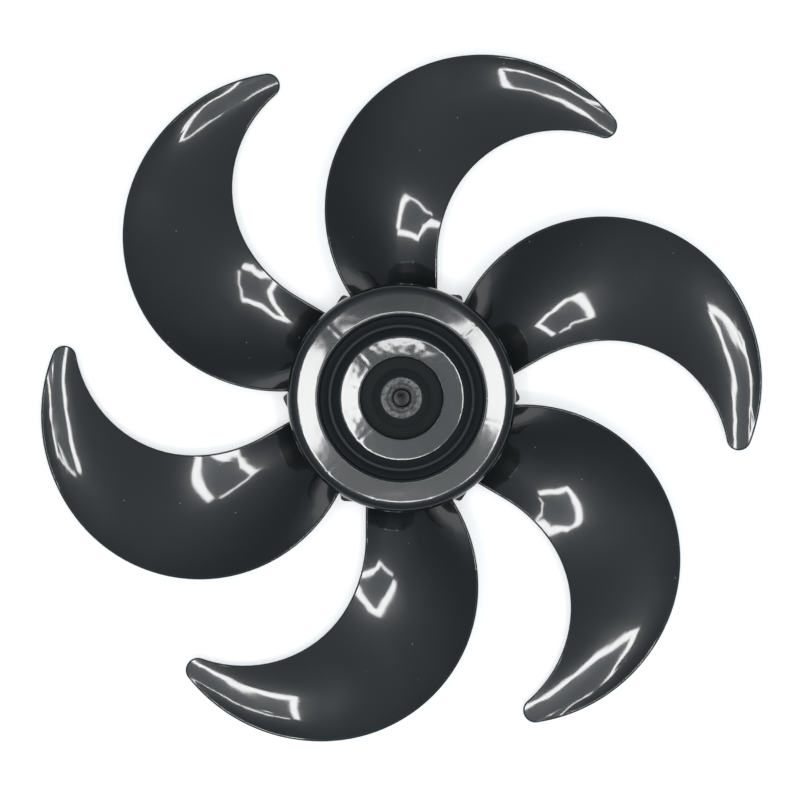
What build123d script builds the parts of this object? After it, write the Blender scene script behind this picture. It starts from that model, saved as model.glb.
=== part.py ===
from build123d import *
import os
from math import cos, hypot, radians, sin

# Axial fan impeller: a rear-open moulded hub with six forward-swept crescent blades,
# and a metal bush moulded into its centre. Millimetres. The axis is Z, the hub's rear
# rim lies on z = 0 and the air leaves towards +Z.

# Hub shell
hub_radius = 56.0
hub_height = 42.0
hub_wall = 2.4
rim_fillet = 5.2  # front outer edge
outer_ring_inner_radius = 40.2
ring_edge_fillet = 2.0
groove_foot_radius = 36.2  # foot of the groove's sloping outer wall
groove_floor_width = 1.2
groove_depth = 14.0
inner_ring_radius = 30.6
inner_ring_drop = 4.0  # inner ring below the outer ring
recess_radius = 20.2
recess_depth = 8.0  # below the inner ring
recess_fall = 1.2  # fall of the recess floor from its wall to the boss
crisp_edge_fillet = 0.5

# Hub inside
boss_wall = 4.0
boss_setback = 6.0  # boss end in from the rear rim
boss_step = 0.5  # boss above the recess floor where they meet
boss_rise = 1.2  # rise of the boss's face towards the bush
rib_count = 12
rib_thickness = 1.6
rib_setback = 14.0  # rib feet in from the rear rim
rib_phase = 15.0

# Bush
bush_radius = 10.5
bush_proud = 1.0  # bush face above the boss
bush_tail = 2.0  # bush end behind the boss
bush_chamfer = 0.6
bore_radius = 4.0
bore_chamfer = 0.6
pin_slot_width = 4.2
pin_slot_depth = 5.0
face_groove_radius = 5.9
face_groove_width = 0.8
face_groove_depth = 0.8
grip_groove_count = 2
grip_groove_width = 3.0
grip_groove_depth = 1.0
grip_groove_pitch = 8.0

# Blade outline, seen along the axis: tangent arcs from the leading edge's root round
# the nose and back along the trailing edge. Turns are in degrees.
blade_count = 6
blade_thickness = 2.0
blade_edge_fillet = 0.8
root_overlap = 8.0  # outline and surface inside the hub's outer radius, before trimming
leading_root_offset = 18.1  # straight stretch of the leading edge, off the centre plane
leading_root_end = 70.3
hollow_entry_radius = 68.6
hollow_entry_turn = 29.7
hollow_radius = 60.9
hollow_turn = 80.2
nose_radius = 6.0
nose_turn = 149.2
tip_back_radius = 85.1
tip_back_turn = 55.0
back_radius = 79.0
back_turn = 146.8

# Blade surface, in sections round the axis: each section crosses the sweep line at its
# own height and rises towards the trailing edge along a cambered curve.
sweep_peak_angle = 96.4
sweep_peak_radius = 78.0
sweep_fall = 0.00342  # degrees per square millimetre
waist_radius = 141.5  # where the sweep line drops towards the tip
waist_height = 16.5
waist_drop = 0.169  # drop per millimetre outwards at the waist
dish = 0.0000728  # height per cubic millimetre from the waist
spoon = 0.00000046  # height per fourth power of a millimetre from the waist
root_pitch = 21.0  # rise per radian at the hub
pitch_loss = 16.0  # fall in pitch from the hub to the tip
pitch_power = 6
root_camber = 158.0  # rise per square radian at the hub
camber_loss = 82.0  # fall in camber from the hub to the tip
trailing_curl = 200.0  # rise per cubic radian
tip_radius = 181.0  # where pitch and camber reach their tip values
section_count = 12
section_half_angle = 32.0
section_points = 9
section_overrun = 8.0  # surface beyond the tip radius, before trimming
surface_tolerance = 0.05
surface_degrees = (3, 8)  # lowest and highest, so that it is one smooth patch

# Lugs on the hub wall beside the trailing edges
lug_width = 6.0
lug_reach = 2.8
lug_crest = 1.6
lug_crest_fillet = 0.7
lug_bottom = 6.0
lug_top = 26.0

inner_ring_height = hub_height - inner_ring_drop
recess_floor = inner_ring_height - recess_depth
boss_foot = recess_floor - recess_fall
boss_radius = bush_radius + boss_wall
boss_top = boss_foot + boss_step + boss_rise
bush_front = boss_top + bush_proud
bush_back = boss_setback - bush_tail
wall_middle = hub_radius - hub_wall / 2
same_size = 0.01  # edges closer than this in radius and height are the same edge
UPRIGHT = (Align.CENTER, Align.CENTER, Align.MIN)


def ring_of(solid, count, phase=0.0):
    """Copies of a solid, evenly spaced round the axis."""
    return [Rot(0, 0, phase + 360 / count * i) * solid for i in range(count)]


def hub_block():
    """The hub's outside as one solid of revolution, closed at the rear."""
    outline = Polyline(
        (0, 0),
        (hub_radius, 0),
        (hub_radius, hub_height),
        (outer_ring_inner_radius, hub_height),
        (groove_foot_radius, hub_height - groove_depth),
        (groove_foot_radius - groove_floor_width, hub_height - groove_depth),
        (inner_ring_radius, inner_ring_height),
        (recess_radius, inner_ring_height),
        (recess_radius, recess_floor),
        (boss_radius, boss_foot),
        (0, boss_foot),
        close=True,
    )
    return revolve(Plane.XZ * make_face(outline), Axis.Z)


def round_edge(solid, radius, height, amount):
    """Fillet the circular edge that has this radius at this height."""
    edges = [
        edge
        for edge in solid.edges().filter_by(GeomType.CIRCLE)
        if abs(edge.radius - radius) < same_size
        and abs(edge.center().Z - height) < same_size
    ]
    return fillet(edges, amount)


def round_front(solid):
    """Fillet the front edges of the two rings."""
    solid = round_edge(solid, hub_radius, hub_height, rim_fillet)
    solid = round_edge(solid, outer_ring_inner_radius, hub_height, ring_edge_fillet)
    for radius in (inner_ring_radius, recess_radius):
        solid = round_edge(solid, radius, inner_ring_height, crisp_edge_fillet)
    return solid


def hub_shell():
    """The rear-open shell with its two rings and the groove between them."""
    block = hub_block()
    rear = block.faces().sort_by(Axis.Z)[0]
    shell = offset(block, -hub_wall, openings=rear, kind=Kind.INTERSECTION)
    inside_rim = (hub_radius - hub_wall, hub_height - hub_wall)
    shell = round_edge(shell, *inside_rim, rim_fillet - hub_wall)
    return round_front(shell)


def hub_ribs():
    """Radial ribs behind the rings, from the boss to the outer wall."""
    plate = Box(
        wall_middle - bush_radius,
        rib_thickness,
        hub_height,
        align=(Align.MIN, Align.CENTER, Align.MIN),
    )
    plate = Pos(bush_radius, 0, rib_setback) * plate
    return (Part() + ring_of(plate, rib_count, rib_phase)) & round_front(hub_block())


def hub_boss():
    """The boss that holds the bush; its face rises from the recess to the bush."""
    outline = Polyline(
        (0, boss_setback),
        (boss_radius, boss_setback),
        (boss_radius, boss_foot + boss_step),
        (bush_radius, boss_top),
        (0, boss_top),
        close=True,
    )
    return revolve(Plane.XZ * make_face(outline), Axis.Z)


def hub_lugs():
    """Wedge lugs on the outer wall, steep towards the trailing edges, with round
    crests and front ends that slope down to the wall."""
    crest = hub_radius + lug_reach
    height = lug_top - lug_bottom
    outline = Polyline(
        (wall_middle, -lug_width / 2),
        (hub_radius, -lug_width / 2),
        (crest, -lug_crest / 2),
        (crest, lug_crest / 2),
        (hub_radius, lug_width),
        (wall_middle, lug_width),
        close=True,
    )
    lug = extrude(make_face(outline), height)
    crests = lug.edges().filter_by(Axis.Z).sort_by(Axis.X)[-2:]
    lug = fillet(crests, lug_crest_fillet)
    lug &= Cone(hub_radius + height, hub_radius, height, align=UPRIGHT)
    return ring_of(Pos(0, 0, lug_bottom) * lug, blade_count)


def blade_point(radius, offset_angle):
    """A point of the blade's middle surface, offset_angle degrees from the sweep line."""
    turn = radians(offset_angle)
    sweep = sweep_peak_angle - sweep_fall * (radius - sweep_peak_radius) ** 2
    angle = radians(sweep) + turn
    outward = (radius - hub_radius) / (tip_radius - hub_radius)
    pitch = root_pitch - pitch_loss * outward**pitch_power
    camber = root_camber - camber_loss * outward
    past_waist = radius - waist_radius
    height = waist_height - waist_drop * past_waist
    height += dish * past_waist**3 + spoon * past_waist**4
    height += pitch * turn + camber * turn**2 / 2 + trailing_curl * turn**3 / 6
    return Vector(radius * cos(angle), radius * sin(angle), height)


def blade_surface():
    """The middle surface of a blade, larger than its outline all round."""
    inner = hub_radius - root_overlap
    outer = tip_radius + section_overrun
    lowest, highest = surface_degrees
    rows = []
    for i in range(section_count):
        radius = inner + (outer - inner) * i / (section_count - 1)
        row = []
        for j in range(section_points):
            share = 2 * j / (section_points - 1) - 1
            row.append(blade_point(radius, section_half_angle * share))
        rows.append(row)
    return Face.make_surface_from_array_of_points(
        rows, tol=surface_tolerance, min_deg=lowest, max_deg=highest
    )


def blade_outline():
    """The blade seen along the axis: a straight root, a hollow leading edge, a round
    nose and one long bulging trailing edge."""
    inside = (leading_root_offset, hub_radius - root_overlap)
    arcs = (
        (hollow_entry_radius, -hollow_entry_turn),
        (hollow_radius, -hollow_turn),
        (nose_radius, nose_turn),
        (tip_back_radius, tip_back_turn),
        (back_radius, back_turn),
    )
    edges = [Line(inside, (leading_root_offset, leading_root_end))]
    for radius, turn in arcs:
        edges.append(JernArc(edges[-1] @ 1, edges[-1] % 1, radius, turn))
    edges.append(Line(edges[-1] @ 1, inside))
    return make_face(edges)


def blade():
    """One blade: the surface given its thickness, trimmed to the outline and to the
    hub wall, with its free edges rounded."""
    skin = thicken(blade_surface(), blade_thickness / 2, both=True)
    trim = extrude(blade_outline(), 2 * hub_height)
    trim -= Cylinder(wall_middle, 2 * hub_height, align=UPRIGHT)
    plate = skin & Pos(0, 0, -hub_height / 2) * trim
    rim = []
    for edge in plate.edges():
        middle = edge @ 0.5
        outside = hypot(middle.X, middle.Y) > hub_radius
        if outside and edge.length > 2 * blade_thickness:
            rim.append(edge)
    return fillet(rim, blade_edge_fillet)


def bush_blank():
    """The bush's outside: a short bar with grip grooves and chamfered ends."""
    bar = Cylinder(bush_radius, bush_front - bush_back, align=UPRIGHT)
    bar = chamfer(bar.edges().filter_by(GeomType.CIRCLE), bush_chamfer)
    groove = Cylinder(bush_radius + grip_groove_depth, grip_groove_width)
    groove -= Cylinder(bush_radius - grip_groove_depth, grip_groove_width)
    middle = (bush_front - bush_back) / 2
    for i in range(grip_groove_count):
        height = middle + grip_groove_pitch * (i - (grip_groove_count - 1) / 2)
        bar -= Pos(0, 0, height) * groove
    return Pos(0, 0, bush_back) * bar


def shaft_bush():
    """The metal bush: bored through, slotted at the rear for the drive pin."""
    bush = bush_blank()
    length = bush_front - bush_back
    bush -= Pos(0, 0, bush_back) * Cylinder(bore_radius, length, align=UPRIGHT)
    mouths = [
        edge
        for edge in bush.edges().filter_by(GeomType.CIRCLE)
        if abs(edge.radius - bore_radius) < same_size
    ]
    bush = chamfer(mouths, bore_chamfer)
    slot = Box(2 * bush_radius, pin_slot_width, pin_slot_depth, align=UPRIGHT)
    bush -= Pos(0, 0, bush_back) * slot
    ring = Cylinder(face_groove_radius + face_groove_width, face_groove_depth, align=UPRIGHT)
    ring -= Cylinder(face_groove_radius, face_groove_depth, align=UPRIGHT)
    return bush - Pos(0, 0, bush_front - face_groove_depth) * ring


def fan_wheel():
    """Hub and blades as one moulding, round the bush."""
    wheel = hub_shell() + hub_boss() + hub_ribs() + hub_lugs()
    wheel += ring_of(blade(), blade_count)
    return wheel - bush_blank()


def main():
    os.makedirs("parts", exist_ok=True)
    export_step(fan_wheel(), "parts/fan_wheel.step")
    export_step(shaft_bush(), "parts/shaft_bush.step")


if __name__ == "__main__":
    main()
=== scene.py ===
from math import pi, radians

import bmesh
import bpy
from bpy.props import FloatProperty, FloatVectorProperty, PointerProperty
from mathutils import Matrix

bl_info = {
    "name": "Axial fan impeller finish",
    "version": (1, 1, 0),
    "blender": (4, 5, 0),
    "location": "View3D > Sidebar > Impeller",
    "description": "Finishes a moulded axial fan impeller and lights it from a lamp frame",
    "category": "Object",
}

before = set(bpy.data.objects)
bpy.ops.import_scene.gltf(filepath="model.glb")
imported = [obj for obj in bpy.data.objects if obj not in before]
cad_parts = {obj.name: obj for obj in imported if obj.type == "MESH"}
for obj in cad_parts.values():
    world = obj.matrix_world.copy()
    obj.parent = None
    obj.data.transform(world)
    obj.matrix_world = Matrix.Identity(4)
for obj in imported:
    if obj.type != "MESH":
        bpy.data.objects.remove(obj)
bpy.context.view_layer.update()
MM = 0.001

# Layout of the hub, in step with the solid.
HUB_RADIUS = 56 * MM
BUSH_RADIUS = 10.5 * MM
BLADE_MIDDLE = 20 * MM
RIB_PITCH = radians(30)
RIB_PHASE = radians(15)

# The hub inside this radius is matt below these heights, inside and outside the inner
# ring's radius: the recess, the groove and the whole rear.
MATT_RADIUS = 53.7 * MM
INNER_RING_RADIUS = 30.55 * MM
RECESS_MATT_TOP = 37.4 * MM
GROOVE_MATT_TOP = 39.9 * MM

# Share of dust in the film on the recess and in the groove, and the width over which it
# changes from one to the other.
RECESS_DUST = 0.1
GROOVE_DUST = 0.5
FILM_EDGE = 1 * MM

# Slow waves that cooling leaves in the moulding, in its shading only.
WAVE_LENGTH = 60 * MM
WAVY_RADIUS = 1.2 * HUB_RADIUS  # from here outwards the blades are fully wavy
HUB_WAVINESS = 0.04  # share of the blades' waviness that the stiff hub has

# Specks of dust: the distance between them, and a speck's full and fading size as
# shares of it.
SPECK_SPACING = 9 * MM
SPECK_CORE = 0.02
SPECK_EDGE = 0.04

# Relief of the ring faces, which only their shading shows: they are crowned, so that they
# fall outwards, and roll off at their edges. As (radius in millimetres, outward slope).
RING_SLOPES = (
    (20.0, 0.05),
    (21.4, -0.0294),
    (29.2, -0.0294),
    (30.6, -0.11),
    (41.4, 0.0),
    (42.3, -0.034),
    (47.0, -0.034),
    (49.8, -0.0294),
    (50.8, -0.05),
)
PROFILE_STEP = 0.2  # millimetres between the points of the profile that follows
PROFILE_DEPTH = 2.0  # millimetres of height that the profile has room for
RING_FACING = (0.93, 0.995)  # upward share of the normal: not a ring face, and fully one
GROOVE_SPAN = (31 * MM, 40 * MM)  # radii of the rings' edges on both sides of the groove

# In the shading the rings lean by these slopes, rising towards +X and +Y, and are uneven
# by these heights.
RING_LEAN_Y = -0.005
INNER_RING_LEAN_X = 0.030
OUTER_RING_LEAN_X = 0.004
UNEVEN_LENGTH = 7 * MM
INNER_RING_UNEVENNESS = 0.09 * MM
OUTER_RING_UNEVENNESS = 0.03 * MM
SINK_HALF_WIDTH = 1.8 * MM

# Dark bands on the bush's face, painted shade along its groove and steps together with
# grime, as (radius in millimetres, share that it covers).
SHADE_AND_GRIME_BANDS = ((5.4, 0.9), (6.2, 0.7), (6.8, 0.1), (7.4, 0.65), (8.2, 0.5), (8.8, 0.0))
SHADE_AND_GRIME_RAGGEDNESS = 1.6 * MM

# The cast skin of the bush, and its rim, where a bright colour is painted on as a highlight.
GRAIN_SIZE = 1.6 * MM
GRAIN_DEPTH = 0.35 * MM
GRAIN_TONES = (0.35, 0.68)  # heights of the grain that are dark and light
HIGHLIGHT_RIM = (0.7 * MM, 0.4 * MM)  # in from the edge, where it starts and where it is full

BASE_IOR = 1.3
SKIN_IOR = 1.5
METAL_ROUGHNESS = 0.42

# Colours that are not among the properties.
DUST = "#8E8D88"
DUST_FILM = "#505659"
DARK_CASTING = "#3A3B3B"
# painted shade and grime: the dark colour of the bands round the bore
SHADE_AND_GRIME = "#232423"
# painted highlight: the bright colour of the bush's rim stands for light on its edge
RIM_HIGHLIGHT_METAL = "#C4C5C3"
BOARD = "#F6F6F6"
WHITE = "#FFFFFF"

CAMERA_PLACE = (-0.75 * MM, -1.0 * MM)
FLOOR_HALF_SIZE = 3.0
BOARD_LIFT = 0.5  # radiance that the camera sees added to the board's own

# Brightness of the room by height over the horizon, as (sine of the height, radiance).
ROOM_LIGHT = (
    (0.0, 0.65),
    (0.12, 0.4),
    (0.3, 0.3),
    (0.5, 0.31),
    (0.7, 0.37),
    (0.82, 0.48),
    (0.92, 0.56),
    (1.0, 0.6),
)
ROOM_TINT = (0.88, 1.0, 1.07)


def linear(hex_colour):
    """An sRGB hex colour as linear red, green, blue and alpha."""
    channels = [int(hex_colour[i : i + 2], 16) / 255 for i in (1, 3, 5)]
    return tuple(
        c / 12.92 if c <= 0.04045 else ((c + 0.055) / 1.055) ** 2.4 for c in channels
    ) + (1.0,)


def add_node(tree, kind, inputs=None, **settings):
    """Adds a node; inputs maps a socket's name or number to a value or to a socket."""
    node = tree.nodes.new(kind)
    for name, value in settings.items():
        setattr(node, name, value)
    for name, value in (inputs or {}).items():
        if isinstance(value, bpy.types.NodeSocket):
            tree.links.new(value, node.inputs[name])
        else:
            node.inputs[name].default_value = value
    return node


def new_material(name):
    """An empty node material and its tree."""
    material = bpy.data.materials.new(name)
    material.use_nodes = True
    material.node_tree.nodes.clear()
    return material, material.node_tree


# ---------------------------------------------------------------- properties


class ImpellerFinish(bpy.types.PropertyGroup):
    """Colours and surface figures of the two pieces."""

    plastic_colour: FloatVectorProperty(
        name="Plastic colour",
        description="Body colour of the black moulding",
        subtype="COLOR",
        size=4,
        default=linear("#0C1112"),
    )
    plastic_gloss: FloatProperty(
        name="Gloss roughness",
        description="Roughness of the moulding's polished skin",
        default=0.065,
        min=0.0,
        max=1.0,
    )
    plastic_haze: FloatProperty(
        name="Haze roughness",
        description="Roughness of the soft glow round the skin's reflections",
        default=0.27,
        min=0.0,
        max=1.0,
    )
    matt_roughness: FloatProperty(
        name="Matt roughness",
        description="Roughness of the hub's recess, groove and inside",
        default=0.6,
        min=0.0,
        max=1.0,
    )
    waviness: FloatProperty(
        name="Waviness",
        description="Height of the full range of the noise that the blades' slow waves "
        "use the middle of; only the shading shows them",
        subtype="DISTANCE",
        default=4.0 * MM,
    )
    ring_crown: FloatProperty(
        name="Ring crown",
        description="Share of the crown that the hub's ring faces have",
        default=1.0,
    )
    sink_depth: FloatProperty(
        name="Sink depth",
        description="Depth of the sink line over each rib behind the hub's rings",
        subtype="DISTANCE",
        default=0.012 * MM,
    )
    metal_colour: FloatVectorProperty(
        name="Metal colour",
        description="Light tone of the cast bush",
        subtype="COLOR",
        size=4,
        default=linear("#7E7F7E"),
    )


class ImpellerStage(bpy.types.PropertyGroup):
    """Camera and lamps. The lamp frame is a rectangle of four bright strips round the
    camera, with a dim panel inside them."""

    camera_height: FloatProperty(
        name="Camera height",
        description="Height of the camera over the blades",
        subtype="DISTANCE",
        default=800 * MM,
    )
    view_width: FloatProperty(
        name="View width",
        description="Width of the picture at the height of the blades",
        subtype="DISTANCE",
        default=400 * MM,
    )
    frame_left: FloatProperty(
        name="Frame left",
        description="Inner edge of the left strip, from the axis",
        subtype="DISTANCE",
        default=-127 * MM,
    )
    frame_right: FloatProperty(
        name="Frame right",
        description="Inner edge of the right strip, from the axis",
        subtype="DISTANCE",
        default=125 * MM,
    )
    frame_front: FloatProperty(
        name="Frame front",
        description="Inner edge of the front strip, from the axis",
        subtype="DISTANCE",
        default=-153 * MM,
    )
    frame_back: FloatProperty(
        name="Frame back",
        description="Inner edge of the back strip, from the axis",
        subtype="DISTANCE",
        default=103 * MM,
    )
    right_turn: FloatProperty(
        name="Right strip turn",
        description="How far the right strip is turned out of square",
        subtype="ANGLE",
        default=radians(9),
    )
    strip_width: FloatProperty(
        name="Strip width",
        description="Width of the side and front strips",
        subtype="DISTANCE",
        default=45 * MM,
    )
    back_strip_width: FloatProperty(
        name="Back strip width",
        description="Width of the back strip, which is the thinnest",
        subtype="DISTANCE",
        default=18 * MM,
    )
    corner_gap: FloatProperty(
        name="Corner gap",
        description="Opening between the left strip and the back strip",
        subtype="DISTANCE",
        default=25 * MM,
    )
    strip_radiance: FloatProperty(
        name="Strip radiance",
        description="Brightness of the strips, where 1 is white",
        default=20.5,
    )
    panel_radiance: FloatProperty(
        name="Panel radiance",
        description="Brightness of the panel inside the strips, where 1 is white",
        default=0.25,
    )


# ---------------------------------------------------------------- materials


def ring_profile():
    """The height of the ring faces over their radius, as points between 0 and 1."""
    first, last = RING_SLOPES[0][0], RING_SLOPES[-1][0]
    count = round((last - first) / PROFILE_STEP)
    points = [(0.0, 1.0)]
    fallen = 0.0
    for i in range(count):
        radius = first + (last - first) * (i + 0.5) / count
        for (near, low), (far, high) in zip(RING_SLOPES, RING_SLOPES[1:]):
            if near <= radius <= far:
                slope = low + (high - low) * (radius - near) / (far - near)
        fallen -= slope * (last - first) / count
        points.append(((i + 1) / count, 1.0 - fallen / PROFILE_DEPTH))
    return points


def ring_crown(tree, axes, radius, finish):
    """Height in millimetres of the rings' crown, with the rings a little askew."""
    along = add_node(
        tree,
        "ShaderNodeMapRange",
        {"Value": radius, "From Min": RING_SLOPES[0][0], "From Max": RING_SLOPES[-1][0]},
    )
    profile = add_node(tree, "ShaderNodeFloatCurve", {"Value": along.outputs["Result"]})
    points = profile.mapping.curves[0].points
    heights = ring_profile()
    points[0].location, points[-1].location = heights[0], heights[-1]
    for height in heights[1:-1]:
        points.new(*height)
    profile.mapping.update()
    crown = add_node(
        tree,
        "ShaderNodeMath",
        {0: profile.outputs["Value"], 1: PROFILE_DEPTH * finish.ring_crown},
        operation="MULTIPLY",
    )
    lean_x = add_node(
        tree,
        "ShaderNodeMapRange",
        {
            "Value": radius,
            "From Min": GROOVE_SPAN[0] / MM,
            "From Max": GROOVE_SPAN[1] / MM,
            "To Min": INNER_RING_LEAN_X,
            "To Max": OUTER_RING_LEAN_X,
        },
    )
    crown = add_node(
        tree,
        "ShaderNodeMath",
        {0: axes.outputs["X"], 1: lean_x.outputs["Result"], 2: crown.outputs[0]},
        operation="MULTIPLY_ADD",
    )
    crown = add_node(
        tree,
        "ShaderNodeMath",
        {0: axes.outputs["Y"], 1: RING_LEAN_Y, 2: crown.outputs[0]},
        operation="MULTIPLY_ADD",
    )
    return crown.outputs[0]


def ring_unevenness(tree, place, radius):
    """Height in millimetres of the shallow bumps that cooling leaves on the rings."""
    bumps = add_node(
        tree,
        "ShaderNodeTexNoise",
        {"Vector": place, "Scale": 1 / UNEVEN_LENGTH, "Detail": 1.0, "Roughness": 0.4},
    )
    depth = add_node(
        tree,
        "ShaderNodeMapRange",
        {
            "Value": radius,
            "From Min": GROOVE_SPAN[0] / MM,
            "From Max": GROOVE_SPAN[1] / MM,
            "To Min": INNER_RING_UNEVENNESS / MM,
            "To Max": OUTER_RING_UNEVENNESS / MM,
        },
    )
    bumps = add_node(
        tree,
        "ShaderNodeMath",
        {0: bumps.outputs["Fac"], 1: depth.outputs["Result"]},
        operation="MULTIPLY",
    )
    return bumps.outputs[0]


def rib_sinks(tree, axes, radius, finish):
    """Height in millimetres of the sink lines, one over each rib behind the rings."""
    angle = add_node(
        tree,
        "ShaderNodeMath",
        {0: axes.outputs["Y"], 1: axes.outputs["X"]},
        operation="ARCTAN2",
    )
    angle = add_node(
        tree, "ShaderNodeMath", {0: angle.outputs[0], 1: RIB_PHASE}, operation="ADD"
    )
    off_rib = add_node(
        tree,
        "ShaderNodeMath",
        {0: angle.outputs[0], 1: RIB_PITCH / 2},
        operation="PINGPONG",
    )
    off_rib = add_node(
        tree, "ShaderNodeMath", {0: off_rib.outputs[0], 1: radius}, operation="MULTIPLY"
    )
    sink = add_node(
        tree,
        "ShaderNodeMapRange",
        {
            "Value": off_rib.outputs[0],
            "From Max": SINK_HALF_WIDTH / MM,
            "To Min": -finish.sink_depth / MM,
            "To Max": 0.0,
        },
        interpolation_type="SMOOTHSTEP",
    )
    return sink.outputs["Result"]


def ring_relief(tree, place, flat, radius, finish):
    """Height in millimetres of the faces of the hub's rings: crowned outwards, a little
    askew, uneven from cooling, and sunk along each rib behind them."""
    axes = add_node(tree, "ShaderNodeSeparateXYZ", {0: flat})
    height = ring_crown(tree, axes, radius, finish)
    bumps = ring_unevenness(tree, place, radius)
    for part in (bumps, rib_sinks(tree, axes, radius, finish)):
        height = add_node(
            tree, "ShaderNodeMath", {0: height, 1: part}, operation="ADD"
        ).outputs[0]
    return height


def ring_mask(tree, coordinates, radius):
    """1 on the faces of the hub that look forwards, 0 on the blades and the walls."""
    facing = add_node(tree, "ShaderNodeSeparateXYZ", {0: coordinates.outputs["Normal"]})
    facing = add_node(
        tree,
        "ShaderNodeMapRange",
        {
            "Value": facing.outputs["Z"],
            "From Min": RING_FACING[0],
            "From Max": RING_FACING[1],
        },
    )
    inside = add_node(
        tree, "ShaderNodeMath", {0: radius, 1: HUB_RADIUS / MM}, operation="LESS_THAN"
    )
    mask = add_node(
        tree,
        "ShaderNodeMath",
        {0: facing.outputs["Result"], 1: inside.outputs[0]},
        operation="MULTIPLY",
    )
    return mask.outputs[0]


def matt_mask(tree, place, radius):
    """1 in the hub's recess and groove and behind them, 0 on what is polished."""
    top = add_node(
        tree,
        "ShaderNodeMath",
        {0: radius, 1: INNER_RING_RADIUS / MM},
        operation="GREATER_THAN",
    )
    top = add_node(
        tree,
        "ShaderNodeMath",
        {0: top.outputs[0], 1: GROOVE_MATT_TOP - RECESS_MATT_TOP, 2: RECESS_MATT_TOP},
        operation="MULTIPLY_ADD",
    )
    height = add_node(tree, "ShaderNodeSeparateXYZ", {0: place}).outputs["Z"]
    below = add_node(
        tree, "ShaderNodeMath", {0: height, 1: top.outputs[0]}, operation="LESS_THAN"
    )
    inside = add_node(
        tree, "ShaderNodeMath", {0: radius, 1: MATT_RADIUS / MM}, operation="LESS_THAN"
    )
    mask = add_node(
        tree,
        "ShaderNodeMath",
        {0: below.outputs[0], 1: inside.outputs[0]},
        operation="MULTIPLY",
    )
    return mask.outputs[0]


def moulded_normal(tree, coordinates, flat, radius, finish):
    """The surface's direction: slow waves from cooling, and the relief of the rings."""
    place = coordinates.outputs["Object"]
    waves = add_node(
        tree,
        "ShaderNodeTexNoise",
        {"Vector": place, "Scale": 1 / WAVE_LENGTH, "Detail": 1.5, "Roughness": 0.3},
    )
    share = add_node(
        tree,
        "ShaderNodeMapRange",
        {
            "Value": radius,
            "From Min": HUB_RADIUS / MM,
            "From Max": WAVY_RADIUS / MM,
            "To Min": HUB_WAVINESS,
        },
    )
    normal = add_node(
        tree,
        "ShaderNodeBump",
        {
            "Height": waves.outputs["Fac"],
            "Distance": finish.waviness,
            "Strength": share.outputs["Result"],
        },
    )
    normal = add_node(
        tree,
        "ShaderNodeBump",
        {
            "Height": ring_relief(tree, place, flat, radius, finish),
            "Distance": MM,
            "Strength": ring_mask(tree, coordinates, radius),
            "Normal": normal.outputs["Normal"],
        },
    )
    return normal.outputs["Normal"]


def dusty_plastic(tree, place, radius, matt, finish):
    """The moulding's colour under specks of dust, and under a film of it where matt."""
    specks = add_node(
        tree, "ShaderNodeTexVoronoi", {"Vector": place, "Scale": 1 / SPECK_SPACING}
    )
    dust = add_node(
        tree,
        "ShaderNodeMapRange",
        {
            "Value": specks.outputs["Distance"],
            "From Min": SPECK_CORE,
            "From Max": SPECK_EDGE,
            "To Min": 1.0,
            "To Max": 0.0,
        },
    )
    colour = add_node(
        tree,
        "ShaderNodeMix",
        {"Factor": dust.outputs["Result"], 6: finish.plastic_colour, 7: linear(DUST)},
        data_type="RGBA",
    )
    film = add_node(
        tree,
        "ShaderNodeMapRange",
        {
            "Value": radius,
            "From Min": (GROOVE_SPAN[0] - FILM_EDGE) / MM,
            "From Max": GROOVE_SPAN[0] / MM,
            "To Min": RECESS_DUST,
            "To Max": GROOVE_DUST,
        },
    )
    film = add_node(
        tree, "ShaderNodeMath", {0: film.outputs["Result"], 1: matt}, operation="MULTIPLY"
    )
    colour = add_node(
        tree,
        "ShaderNodeMix",
        {"Factor": film.outputs[0], 6: colour.outputs[2], 7: linear(DUST_FILM)},
        data_type="RGBA",
    )
    return colour.outputs[2]


def gloss_black_abs(finish):
    """ABS, injection moulded: black, with a clear gloss and a faint haze round its
    reflections where the tool is polished, and matt in the hub's recess and groove and
    inside it. A little dust lies on it, and a film of dust fills the groove."""
    material, tree = new_material("gloss_black_abs")
    coordinates = add_node(tree, "ShaderNodeTexCoord")
    place = coordinates.outputs["Object"]
    flat = add_node(
        tree,
        "ShaderNodeVectorMath",
        {0: place, 1: (1 / MM, 1 / MM, 0)},
        operation="MULTIPLY",
    ).outputs[0]
    radius = add_node(tree, "ShaderNodeVectorMath", {0: flat}, operation="LENGTH")
    radius = radius.outputs["Value"]
    matt = matt_mask(tree, place, radius)
    rough = add_node(
        tree,
        "ShaderNodeMapRange",
        {"Value": matt, "To Min": finish.plastic_haze, "To Max": finish.matt_roughness},
    )
    skin = add_node(tree, "ShaderNodeMath", {0: 1.0, 1: matt}, operation="SUBTRACT")
    normal = moulded_normal(tree, coordinates, flat, radius, finish)
    shader = add_node(
        tree,
        "ShaderNodeBsdfPrincipled",
        {
            "Base Color": dusty_plastic(tree, place, radius, matt, finish),
            "Roughness": rough.outputs["Result"],
            "IOR": BASE_IOR,
            "Coat Weight": skin.outputs[0],
            "Coat Roughness": finish.plastic_gloss,
            "Coat IOR": SKIN_IOR,
            "Normal": normal,
            "Coat Normal": normal,
        },
    )
    add_node(tree, "ShaderNodeOutputMaterial", {"Surface": shader.outputs["BSDF"]})
    return material


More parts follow.
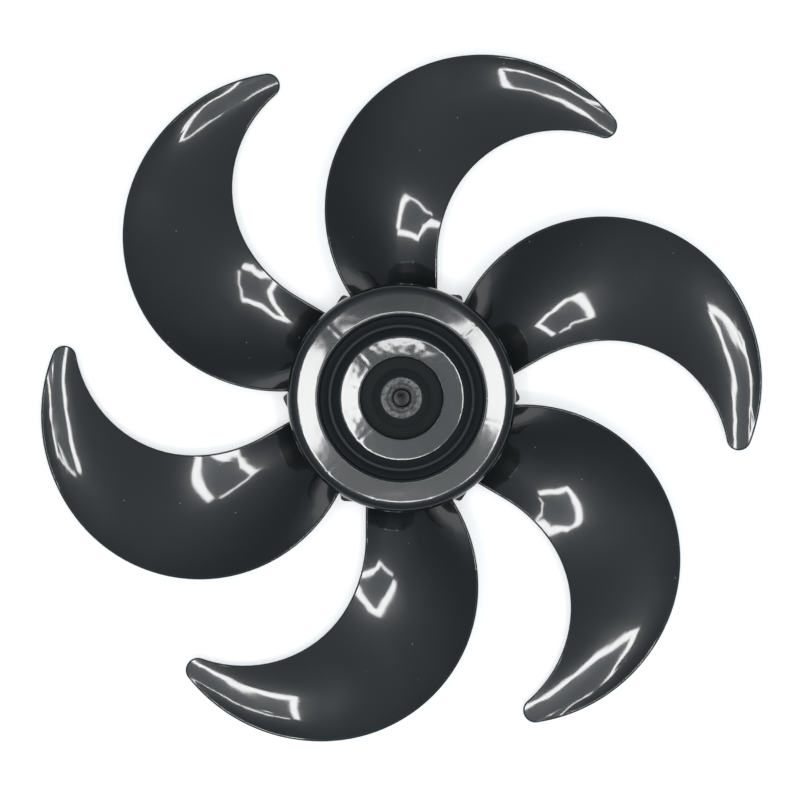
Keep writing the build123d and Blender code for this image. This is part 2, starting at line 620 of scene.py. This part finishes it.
def bush_shade_and_grime(tree, grain, radius):
    """How much of the bush's face is darkened, in ragged bands round the bore: painted shade
    along its groove and steps, together with grime.
    """
    ragged = add_node(
        tree,
        "ShaderNodeMath",
        {0: grain, 1: SHADE_AND_GRIME_RAGGEDNESS, 2: radius},
        operation="MULTIPLY_ADD",
    )
    ragged = add_node(
        tree, "ShaderNodeMapRange", {"Value": ragged.outputs[0], "From Max": BUSH_RADIUS}
    )
    # painted shade and grime: dark bands over the face's groove and steps
    shade_and_grime = add_node(tree, "ShaderNodeValToRGB", {"Fac": ragged.outputs["Result"]})
    bands = shade_and_grime.color_ramp.elements
    while len(bands) < len(SHADE_AND_GRIME_BANDS):
        bands.new(0.5)
    for band, (position, amount) in zip(bands, SHADE_AND_GRIME_BANDS):
        band.position = position * MM / BUSH_RADIUS
        band.color = (amount, amount, amount, 1.0)
    return shade_and_grime.outputs["Color"]


def mottled_metal_with_painted_light(tree, grain, radius, finish):
    """The bush's colour: mottled, with painted shade and grime round the bore and a painted
    highlight at the rim.
    """
    mottle = add_node(
        tree,
        "ShaderNodeMapRange",
        {"Value": grain, "From Min": GRAIN_TONES[0], "From Max": GRAIN_TONES[1]},
    )
    # painted highlight: the colour turns bright towards the rim's edge
    rim_highlight = add_node(
        tree,
        "ShaderNodeMapRange",
        {
            "Value": radius,
            "From Min": BUSH_RADIUS - HIGHLIGHT_RIM[0],
            "From Max": BUSH_RADIUS - HIGHLIGHT_RIM[1],
        },
    )
    colour = linear(DARK_CASTING)
    for amount, coat in (
        (mottle.outputs["Result"], finish.metal_colour),
        (bush_shade_and_grime(tree, grain, radius), linear(SHADE_AND_GRIME)),
        (rim_highlight.outputs["Result"], linear(RIM_HIGHLIGHT_METAL)),
    ):
        colour = add_node(
            tree,
            "ShaderNodeMix",
            {"Factor": amount, 6: colour, 7: coat},
            data_type="RGBA",
        ).outputs[2]
    return colour


def cast_aluminium(finish):
    """Aluminium alloy, cast and left raw: dull grey, mottled and pitted, with a painted
    highlight along its edge and painted shade with grime round the bore."""
    material, tree = new_material("cast_aluminium")
    place = add_node(tree, "ShaderNodeTexCoord").outputs["Object"]
    grain = add_node(
        tree,
        "ShaderNodeTexNoise",
        {"Vector": place, "Scale": 1 / GRAIN_SIZE, "Detail": 6.0, "Roughness": 0.75},
    ).outputs["Fac"]
    flat = add_node(
        tree, "ShaderNodeVectorMath", {0: place, 1: (1, 1, 0)}, operation="MULTIPLY"
    )
    radius = add_node(tree, "ShaderNodeVectorMath", {0: flat.outputs[0]}, operation="LENGTH")
    relief = add_node(
        tree,
        "ShaderNodeBump",
        {"Height": grain, "Distance": GRAIN_DEPTH, "Strength": 1.0},
    )
    shader = add_node(
        tree,
        "ShaderNodeBsdfPrincipled",
        {
            "Base Color": mottled_metal_with_painted_light(tree, grain, radius.outputs["Value"], finish),
            "Metallic": 1.0,
            "Roughness": METAL_ROUGHNESS,
            "Normal": relief.outputs["Normal"],
        },
    )
    add_node(tree, "ShaderNodeOutputMaterial", {"Surface": shader.outputs["BSDF"]})
    return material


def white_board():
    """Matt white board. The camera and mirror-like surfaces see it a little lifted, so
    that it is white where nothing shades it; the lift fades out where the hub covers it,
    which paints shade there."""
    material, tree = new_material("matt_white_board")
    board = add_node(tree, "ShaderNodeBsdfDiffuse", {"Color": linear(BOARD)})
    path = add_node(tree, "ShaderNodeLightPath")
    seen = path.outputs["Is Camera Ray"]
    for kind in ("Is Glossy Ray", "Is Transmission Ray"):
        seen = add_node(
            tree, "ShaderNodeMath", {0: seen, 1: path.outputs[kind]}, operation="MAXIMUM"
        ).outputs[0]
    place = add_node(tree, "ShaderNodeTexCoord").outputs["Object"]
    radius = add_node(tree, "ShaderNodeVectorMath", {0: place}, operation="LENGTH")
    # painted shade: the lift fades out under the hub, so the board looks darker there
    board_lift_with_painted_shade = add_node(
        tree,
        "ShaderNodeMapRange",
        {
            "Value": radius.outputs["Value"],
            "From Min": HUB_RADIUS / 2,
            "From Max": HUB_RADIUS,
            "To Max": BOARD_LIFT,
        },
    )
    lift = add_node(
        tree,
        "ShaderNodeMath",
        {0: seen, 1: board_lift_with_painted_shade.outputs["Result"]},
        operation="MULTIPLY",
    )
    glow = add_node(
        tree,
        "ShaderNodeEmission",
        {"Color": linear(WHITE), "Strength": lift.outputs[0]},
    )
    both = add_node(
        tree,
        "ShaderNodeAddShader",
        {0: board.outputs["BSDF"], 1: glow.outputs["Emission"]},
    )
    add_node(tree, "ShaderNodeOutputMaterial", {"Surface": both.outputs["Shader"]})
    return material


# ---------------------------------------------------------------- stage parts


def area_lamp(name, edges, height, radiance, turn=0.0, tint=(1.0, 1.0, 1.0)):
    """A rectangular lamp that shines straight down, turned about its middle. Its edges
    are the left, right, front and back one, from the axis."""
    left, right, front, back = edges
    width = right - left
    depth = back - front
    lamp = bpy.data.lights.new(name, "AREA")
    lamp.shape = "RECTANGLE"
    lamp.size = width
    lamp.size_y = depth
    lamp.energy = radiance * pi * width * depth
    lamp.color = tint
    holder = bpy.data.objects.new(name, lamp)
    holder.location = ((left + right) / 2, (front + back) / 2, height)
    holder.rotation_euler.z = turn
    bpy.context.scene.collection.objects.link(holder)


class IMPELLER_OT_stage(bpy.types.Operator):
    """Builds the floor, the lamps, the world and the camera"""

    bl_idname = "impeller.stage"
    bl_label = "Stage"

    def execute(self, context):
        stage = context.scene.impeller_stage
        self.floor()
        self.lamps(stage)
        self.world(context.scene)
        self.camera(context.scene, stage)
        context.scene.view_settings.view_transform = "Standard"
        return {"FINISHED"}

    def floor(self):
        mesh = bmesh.new()
        bmesh.ops.create_grid(mesh, x_segments=1, y_segments=1, size=FLOOR_HALF_SIZE)
        data = bpy.data.meshes.new("floor")
        mesh.to_mesh(data)
        mesh.free()
        data.materials.append(white_board())
        floor = bpy.data.objects.new("floor", data)
        bpy.context.scene.collection.objects.link(floor)

    def lamps(self, stage):
        height = stage.camera_height + BLADE_MIDDLE
        left, right = stage.frame_left, stage.frame_right
        front, back = stage.frame_front, stage.frame_back
        strip, thin = stage.strip_width, stage.back_strip_width
        gap = stage.corner_gap
        strips = {
            "strip_left": (left - strip, left, front, back - gap / 2),
            "strip_front": (left - strip, right + strip, front - strip, front),
            "strip_back": (left + gap, right, back, back + thin),
        }
        for name, edges in strips.items():
            area_lamp(name, edges, height, stage.strip_radiance)
        edges = (right, right + strip, front, back + thin)
        area_lamp("strip_right", edges, height, stage.strip_radiance, stage.right_turn)
        edges = (left, right, front, back)
        area_lamp("panel", edges, height, stage.panel_radiance, tint=ROOM_TINT)

    def world(self, scene):
        world = bpy.data.worlds.new("soft_room")
        scene.world = world
        world.use_nodes = True
        tree = world.node_tree
        tree.nodes.clear()
        direction = add_node(tree, "ShaderNodeTexCoord").outputs["Generated"]
        height = add_node(tree, "ShaderNodeSeparateXYZ", {0: direction}).outputs["Z"]
        ramp = add_node(tree, "ShaderNodeValToRGB", {"Fac": height})
        stops = ramp.color_ramp.elements
        while len(stops) < len(ROOM_LIGHT):
            stops.new(0.5)
        for stop, (position, radiance) in zip(stops, ROOM_LIGHT):
            stop.position = position
            stop.color = (*(radiance * tint for tint in ROOM_TINT), 1.0)
        shader = add_node(tree, "ShaderNodeBackground", {"Color": ramp.outputs["Color"]})
        add_node(tree, "ShaderNodeOutputWorld", {"Surface": shader.outputs["Background"]})

    def camera(self, scene, stage):
        lens = bpy.data.cameras.new("camera")
        lens.lens = lens.sensor_width * stage.camera_height / stage.view_width
        lens.clip_start = 10 * MM
        camera = bpy.data.objects.new("camera", lens)
        camera.location = (*CAMERA_PLACE, stage.camera_height + BLADE_MIDDLE)
        scene.collection.objects.link(camera)
        scene.camera = camera


# ---------------------------------------------------------------- pieces


class IMPELLER_OT_fan_wheel(bpy.types.Operator):
    """Finishes the black moulding"""

    bl_idname = "impeller.fan_wheel"
    bl_label = "Fan wheel"

    def execute(self, context):
        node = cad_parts["fan_wheel"]
        node.data.materials.clear()
        node.data.materials.append(gloss_black_abs(context.scene.impeller_finish))
        return {"FINISHED"}


class IMPELLER_OT_shaft_bush(bpy.types.Operator):
    """Finishes the metal bush"""

    bl_idname = "impeller.shaft_bush"
    bl_label = "Shaft bush"

    def execute(self, context):
        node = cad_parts["shaft_bush"]
        node.data.materials.clear()
        node.data.materials.append(cast_aluminium(context.scene.impeller_finish))
        return {"FINISHED"}


class IMPELLER_PT_panel(bpy.types.Panel):
    """Sizes, colours and the build steps"""

    bl_idname = "IMPELLER_PT_panel"
    bl_label = "Impeller"
    bl_space_type = "VIEW_3D"
    bl_region_type = "UI"
    bl_category = "Impeller"

    def draw(self, context):
        for group in (context.scene.impeller_finish, context.scene.impeller_stage):
            for name in group.bl_rna.properties.keys():
                if name not in ("rna_type", "name"):
                    self.layout.prop(group, name)
        for step in STEPS:
            self.layout.operator(step.bl_idname)


STEPS = (IMPELLER_OT_stage, IMPELLER_OT_fan_wheel, IMPELLER_OT_shaft_bush)
CLASSES = (ImpellerFinish, ImpellerStage, *STEPS, IMPELLER_PT_panel)


def register():
    for item in CLASSES:
        bpy.utils.register_class(item)
    bpy.types.Scene.impeller_finish = PointerProperty(type=ImpellerFinish)
    bpy.types.Scene.impeller_stage = PointerProperty(type=ImpellerStage)


def unregister():
    del bpy.types.Scene.impeller_stage
    del bpy.types.Scene.impeller_finish
    for item in reversed(CLASSES):
        bpy.utils.unregister_class(item)


def main():
    register()
    bpy.ops.impeller.stage()
    bpy.ops.impeller.fan_wheel()
    bpy.ops.impeller.shaft_bush()


if __name__ == "__main__":
    main()
